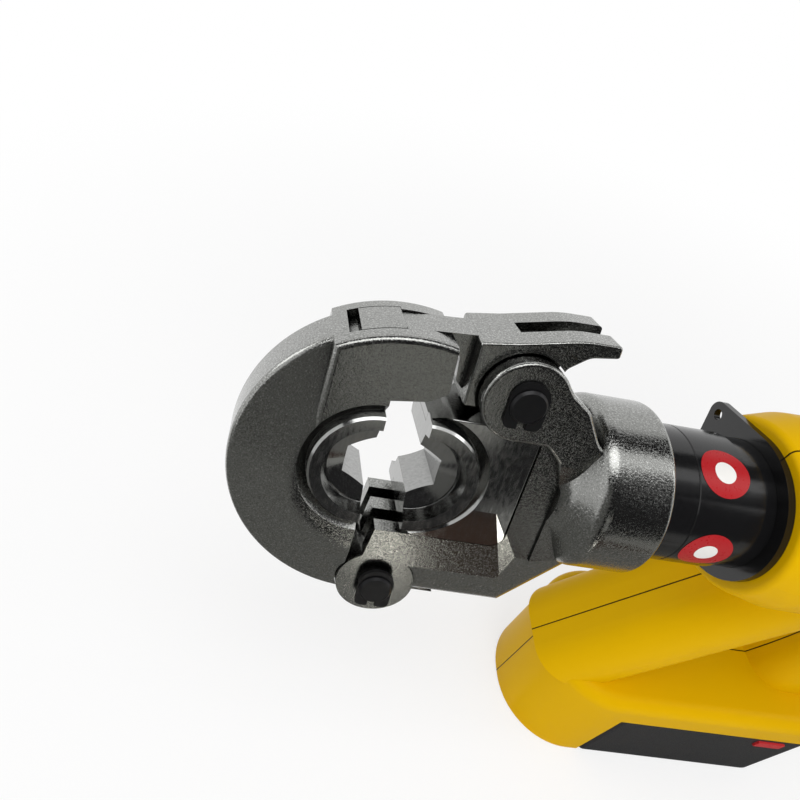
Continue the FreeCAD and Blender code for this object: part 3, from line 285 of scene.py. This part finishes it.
class Finish:
    """A material under construction, with its shader and the pattern nodes that feed it."""

    def __init__(self, name, colour, roughness, metallic=0.0):
        self.material = bpy.data.materials.new(name)
        self.material.use_nodes = True
        self.nodes = self.material.node_tree.nodes
        self.links = self.material.node_tree.links
        self.shader = self.nodes["Principled BSDF"]
        self.shader.inputs["Base Color"].default_value = (*colour, 1)
        self.shader.inputs["Roughness"].default_value = roughness
        self.shader.inputs["Metallic"].default_value = metallic
        self.place = self.nodes.new("ShaderNodeTexCoord").outputs["Object"]
        self.bump_chain = None

    def stretched(self, scale):
        """The place with each axis scaled, which draws a pattern out along the axis of the smallest."""
        mapping = self.nodes.new("ShaderNodeMapping")
        mapping.inputs["Scale"].default_value = scale
        self.links.new(self.place, mapping.inputs["Vector"])
        return mapping.outputs["Vector"]

    def noise(self, scale, detail, rough, vector=None):
        """A cloudy pattern with about this many patches to a metre."""
        node = self.nodes.new("ShaderNodeTexNoise")
        node.inputs["Scale"].default_value = scale
        node.inputs["Detail"].default_value = detail
        node.inputs["Roughness"].default_value = rough
        self.links.new(vector or self.place, node.inputs["Vector"])
        return node.outputs["Fac"]

    def ranged(self, value, low, high, start=0.3, end=0.7):
        """Carry a pattern's values from start to end over to low to high."""
        node = self.nodes.new("ShaderNodeMapRange")
        node.inputs["From Min"].default_value = start
        node.inputs["From Max"].default_value = end
        node.inputs["To Min"].default_value = low
        node.inputs["To Max"].default_value = high
        self.links.new(value, node.inputs["Value"])
        return node.outputs["Result"]

    def paint_hollow_shade(self, depth, darkest):
        """Painted shade: darken the colour in gaps and hollows narrower than the depth, where shade falls.
        """
        hollow = self.nodes.new("ShaderNodeAmbientOcclusion")
        hollow.inputs["Distance"].default_value = depth
        hollow.only_local = True
        hollow.samples = 6
        shade = self.ranged(hollow.outputs["AO"], darkest, 1.0, 0.35, 0.8)
        clean = self.shader.inputs["Base Color"].links[0].from_socket
        mix = self.nodes.new("ShaderNodeMix")
        mix.data_type = "RGBA"
        mix.blend_type = "MULTIPLY"
        mix.inputs["Factor"].default_value = 1.0
        self.links.new(clean, mix.inputs["A"])
        self.links.new(shade, mix.inputs["B"])
        self.links.new(mix.outputs["Result"], self.shader.inputs["Base Color"])

    def near_middle(self, half):
        """1 on the plane y = 0 and 0 beyond the half width, for the seam between two moulded halves."""
        split = self.nodes.new("ShaderNodeSeparateXYZ")
        self.links.new(self.place, split.inputs[0])
        off = self.nodes.new("ShaderNodeMath")
        off.operation = "ABSOLUTE"
        self.links.new(split.outputs["Y"], off.inputs[0])
        return self.ranged(off.outputs[0], 1.0, 0.0, half * 0.5, half)

    def sum_of(self, first, second):
        """Two patterns added."""
        node = self.nodes.new("ShaderNodeMath")
        node.operation = "ADD"
        self.links.new(first, node.inputs[0])
        self.links.new(second, node.inputs[1])
        return node.outputs[0]

    def rough(self, value):
        """Let a pattern set the roughness."""
        self.links.new(value, self.shader.inputs["Roughness"])

    def colours(self, value, stops):
        """Let a pattern pick the colour from (value, colour) stops."""
        ramp = self.nodes.new("ShaderNodeValToRGB")
        fill_ramp(ramp, [(at, (*colour, 1)) for at, colour in stops])
        self.links.new(value, ramp.inputs["Fac"])
        self.links.new(ramp.outputs["Color"], self.shader.inputs["Base Color"])

    def bump(self, value, height, strength=1.0):
        """Relief of a real height in metres, on top of what is there."""
        node = self.nodes.new("ShaderNodeBump")
        node.inputs["Distance"].default_value = height
        node.inputs["Strength"].default_value = strength
        self.links.new(value, node.inputs["Height"])
        if self.bump_chain:
            self.links.new(self.bump_chain, node.inputs["Normal"])
        self.bump_chain = node.outputs["Normal"]
        self.links.new(self.bump_chain, self.shader.inputs["Normal"])


def forged_chrome():
    """Plated forged steel: a fine sandy grain with bright specks under the plating, over slow waves, and
    painted shade in its hollows.
    """
    finish = Finish("forged_chrome", (0.30, 0.303, 0.29), roughness=0.13, metallic=1.0)
    waves = finish.noise(scale=50, detail=2, rough=0.5)
    grain = finish.noise(scale=1100, detail=2, rough=0.6)
    sand = finish.noise(scale=1700, detail=3, rough=0.75)
    finish.colours(sand, ((0.36, (0.20, 0.202, 0.193)), (0.5, (0.30, 0.303, 0.29)),
                          (0.60, (0.36, 0.363, 0.35)), (0.68, (0.60, 0.605, 0.59))))
    # painted shade: the colour darkens in gaps and hollows narrower than 5 mm
    finish.paint_hollow_shade(depth=5 * MM, darkest=0.06)
    finish.rough(finish.ranged(grain, 0.09, 0.21))
    finish.bump(waves, height=0.1 * MM, strength=0.35)
    finish.bump(grain, height=0.04 * MM)
    finish.bump(finish.ranged(sand, 0.0, 1.0, 0.5, 0.7), height=0.02 * MM)
    return finish.material


def machined_steel(name):
    """Plated steel with fine marks drawn out upwards: the finish so far, and the marks."""
    finish = Finish(name, (0.36, 0.362, 0.355), roughness=0.12, metallic=1.0)
    marks = finish.noise(scale=900, detail=2, rough=0.5, vector=finish.stretched((1, 1, 0.08)))
    finish.bump(marks, height=0.01 * MM, strength=0.6)
    return finish, marks


def turned_steel():
    """Machined and plated steel."""
    finish, marks = machined_steel("turned_steel")
    finish.rough(finish.ranged(marks, 0.07, 0.17))
    return finish.material


def die_steel():
    """The dies' steel, with painted shade that darkens it down in the hexagon and its lead-in."""
    finish, marks = machined_steel("die_steel")
    finish.colours(marks, ((0.3, (0.33, 0.332, 0.325)), (0.7, (0.39, 0.392, 0.385))))
    # painted shade: the colour darkens in hollows narrower than 12 mm, down in the hexagon and its lead-in
    finish.paint_hollow_shade(depth=12 * MM, darkest=0.22)
    finish.rough(finish.ranged(marks, 0.09, 0.2))
    return finish.material


def black_oxide():
    """Blackened steel, worn a little shinier in places."""
    finish = Finish("black_oxide", (0.012, 0.012, 0.013), roughness=0.35, metallic=0.6)
    wear = finish.noise(scale=400, detail=4, rough=0.6)
    finish.rough(finish.ranged(wear, 0.28, 0.45))
    finish.bump(wear, height=0.02 * MM, strength=0.5)
    return finish.material


def black_sleeve():
    """Smooth black coated tube."""
    finish = Finish("black_coat", (0.006, 0.006, 0.0065), roughness=0.18)
    dust = finish.noise(scale=700, detail=3, rough=0.6)
    finish.rough(finish.ranged(dust, 0.14, 0.22))
    finish.bump(dust, height=0.01 * MM, strength=0.4)
    return finish.material


def yellow_shell():
    """Moulded yellow plastic with a very fine spark texture and a seam along its middle."""
    finish = Finish("yellow_shell", (0.72, 0.42, 0.0), roughness=0.38)
    texture = finish.noise(scale=2500, detail=2, rough=0.5)
    tone = finish.noise(scale=9, detail=2, rough=0.5)
    seam = finish.near_middle(0.35 * MM)
    finish.colours(finish.sum_of(tone, seam), ((0.3, (0.70, 0.405, 0.0)), (0.7, (0.745, 0.435, 0.0)),
                                               (1.0, (0.05, 0.03, 0.0))))
    finish.rough(finish.ranged(tone, 0.33, 0.42))
    finish.shader.inputs["Specular IOR Level"].default_value = 0.05
    finish.bump(texture, height=0.03 * MM, strength=0.5)
    finish.bump(seam, height=-0.3 * MM)
    return finish.material


def plain_finish(name, colour, roughness, metallic=0.0, grain=900, height=0.02 * MM):
    """One colour with a fine even grain."""
    finish = Finish(name, colour, roughness, metallic)
    texture = finish.noise(scale=grain, detail=3, rough=0.6)
    finish.rough(finish.ranged(texture, roughness * 0.85, min(1.0, roughness * 1.2)))
    finish.bump(texture, height, strength=0.6)
    return finish.material


def dress_nodes():
    """Give each piece of the frame its finish."""
    finishes = {
        "forged": forged_chrome(),
        "turned": turned_steel(),
        "die": die_steel(),
        "oxide": black_oxide(),
        "sleeve": black_sleeve(),
        "yellow": yellow_shell(),
        "rubber": plain_finish("grip_rubber", (0.02, 0.02, 0.02), 0.75, grain=700, height=0.25 * MM),
        "plastic": plain_finish("black_plastic", (0.022, 0.022, 0.024), 0.5, grain=1800, height=0.04 * MM),
        "red": plain_finish("red_plastic", (0.55, 0.015, 0.02), 0.4),
        "alloy": plain_finish("cast_alloy", (0.45, 0.45, 0.47), 0.35, metallic=1.0),
        "wrap": plain_finish("cell_wrap", (0.05, 0.25, 0.3), 0.4),
        "board": plain_finish("board_green", (0.02, 0.16, 0.05), 0.45),
        "brass": plain_finish("contact_brass", (0.75, 0.55, 0.2), 0.25, metallic=1.0),
    }
    groups = {
        "forged": ("swing_jaw", "yoke", "latch"),
        "die": ("fixed_die", "moving_die"),
        "turned": ("ram_block", "piston", "release_plunger", "return_spring", "latch_spring",
                   "trigger_spring", "release_spring", "catch_spring_left", "catch_spring_right"),
        "oxide": ("hinge_pin", "latch_pin", "retaining_clips", "housing_screws", "motor"),
        "sleeve": ("swivel_ring", "cylinder", "hanger_ring"),
        "yellow": ("housing_left", "housing_right"),
        "rubber": ("grip_pad_left", "grip_pad_right", "piston_seal", "oil_bladder"),
        "plastic": ("trigger", "trigger_switch", "terminal_block", "battery_tub", "battery_cover"),
        "red": ("release_button", "battery_catch_left", "battery_catch_right"),
        "alloy": ("pump_block", "gearbox"),
        "wrap": ("battery_cells",),
        "board": ("control_board",),
        "brass": ("terminal_blades",),
    }
    for finish, names in groups.items():
        for name in names:
            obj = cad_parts[name]
            if obj.material_slots:
                for slot in obj.material_slots:
                    slot.material = finishes[finish]
            else:
                obj.data.materials.append(finishes[finish])


# Spring copies on their bodies

def add_coil(node, body):
    """A copy of a coil spring that rides on a body, in place of the still one."""
    coil = bpy.data.objects.new(node + "_coil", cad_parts[node].data.copy())
    bpy.context.scene.collection.objects.link(coil)
    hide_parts(node)
    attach(coil, body)
    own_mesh(coil)


def add_coils():
    """The coils of the ram, the trigger, the release button and the battery's two catches."""
    add_coil("return_spring", "head")
    add_coil("trigger_spring", "housing")
    add_coil("release_spring", "housing")
    add_coil("catch_spring_left", "battery")
    add_coil("catch_spring_right", "battery")


# Stickers on the sleeve

def put_in_order(parts, key):
    """Number a mesh's parts by a key, because extruding numbers them anew in each run."""
    for number, part in enumerate(sorted(parts, key=key)):
        part.index = number
    parts.sort()
    parts.index_update()


def point_numbers(part):
    """The numbers of an edge's or a face's points, the least first."""
    return sorted(vert.index for vert in part.verts)


def finish_piece(name, form, material, body):
    """Turn a built mesh into a piece that rides on a body."""
    bmesh.ops.recalc_face_normals(form, faces=form.faces)
    put_in_order(form.verts, key=lambda vert: vert.co[:])
    put_in_order(form.edges, key=point_numbers)
    put_in_order(form.faces, key=point_numbers)
    mesh = bpy.data.meshes.new(name)
    form.to_mesh(mesh)
    form.free()
    mesh.materials.append(material)
    for polygon in mesh.polygons:
        polygon.use_smooth = True
    obj = bpy.data.objects.new(name, mesh)
    bpy.context.scene.collection.objects.link(obj)
    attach(obj, body)
    return obj


def wrap_on_sleeve(form, along, degrees, lift):
    """Bend a flat form, drawn in x and y about its centre, round the sleeve."""
    radius = SLEEVE_RADIUS + lift
    for vert in form.verts:
        angle = math.radians(degrees) + vert.co.y / SLEEVE_RADIUS
        reach = radius + vert.co.z
        vert.co = Vector((HEAD_FORWARD + along + vert.co.x, reach * math.sin(angle),
                          AXIS_HEIGHT + reach * math.cos(angle)))


def add_disc(name, along, degrees, radius, lift, material):
    """A thin round label on the sleeve, at a place along the tool and an angle round it."""
    form = bmesh.new()
    bmesh.ops.create_circle(form, cap_ends=False, segments=48, radius=radius)
    rim = form.edges[:]
    for rings_left in range(6, 0, -1):
        share = (rings_left - 1) / rings_left
        grown = bmesh.ops.extrude_edge_only(form, edges=rim)["geom"]
        rim = [item for item in grown if isinstance(item, bmesh.types.BMEdge)]
        ring = [item for item in grown if isinstance(item, bmesh.types.BMVert)]
        bmesh.ops.scale(form, vec=(share, share, 1), verts=ring)
    bmesh.ops.remove_doubles(form, verts=form.verts, dist=0.01 * MM)
    wrap_on_sleeve(form, along, degrees, lift)
    return finish_piece(name, form, material, "housing")


def add_stickers():
    """Two round red labels on the sleeve, each with a plain white dot."""
    red = plain_finish("sticker_red", (0.40, 0.010, 0.014), 0.3)
    red.node_tree.nodes["Principled BSDF"].inputs["Specular IOR Level"].default_value = 0.3
    white = plain_finish("sticker_white", (0.80, 0.79, 0.76), 0.4)
    for name, degrees in LABEL_TURNS:
        add_disc("sticker_" + name, LABEL_ALONG, degrees, LABEL_RADIUS, LABEL_LIFT, red)
        add_disc("sticker_dot_" + name, LABEL_ALONG, degrees, DOT_RADIUS, DOT_LIFT, white)


bpy.context.scene.view_settings.view_transform = "Standard"
add_camera()
add_lights()
add_world()
add_floor()
add_cards()
dress_nodes()
add_coils()
add_stickers()
